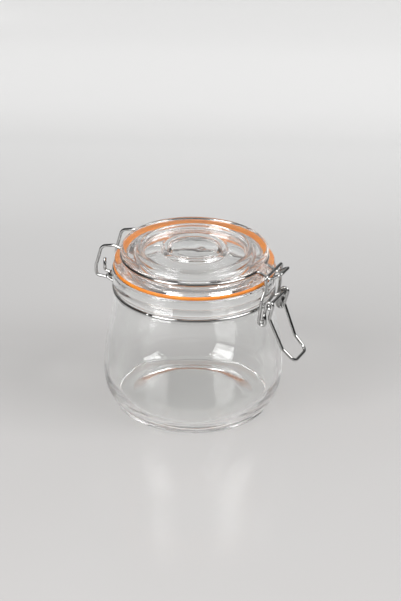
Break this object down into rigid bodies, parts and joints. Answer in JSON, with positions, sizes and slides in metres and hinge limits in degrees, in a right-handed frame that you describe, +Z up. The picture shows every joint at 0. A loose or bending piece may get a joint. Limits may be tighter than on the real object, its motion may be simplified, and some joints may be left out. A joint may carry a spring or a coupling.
{
  "type": "bail clamp jar",
  "caption": "Round-bellied glass storage jar with a hinged glass lid, rubber gasket and wire bail clamp.",
  "frame": {"origin": "on the jar's axis in the plane of the foot ring that it stands on", "axes": "+Z up along the jar's axis; +X from the hinge at the back to the clamp at the front; the jar is mirror-symmetric about the XZ plane"},
  "size_m": [0.128, 0.106, 0.0993],
  "materials": {
    "glass": "clear pressed soda-lime glass",
    "lid_glass": "clear pressed soda-lime glass",
    "rubber": "matt moulded rubber",
    "wire": "bright zinc-plated drawn wire"
  },
  "bodies": {
    "jar": {"jar_body": "glass", "neck_band": "wire"},
    "lid": {"lid": "lid_glass", "gasket": "rubber", "lid_band": "wire"},
    "lever": {"lever": "wire"},
    "bail": {"bail": "wire"}
  },
  "joints": [
    {"name": "lid_hinge", "type": "hinge", "parent": "jar", "child": "lid", "pos_m": [-0.0496, 0, 0.0759], "axis": [0, -1, 0], "range_deg": [0, 100]},
    {"name": "lever_pivot", "type": "hinge", "parent": "jar", "child": "lever", "pos_m": [0.05265, 0, 0.0766], "axis": [0, -1, 0], "range_deg": [0, 110]},
    {"name": "bail_pivot", "type": "hinge", "parent": "lever", "child": "bail", "pos_m": [0.0492, 0, 0.0665], "axis": [0, 1, 0], "range_deg": [0, 75]}
  ],
  "couplings": [
    {"joint": "bail_pivot", "follows": "lever_pivot", "ratio": 0.62}
  ]
}
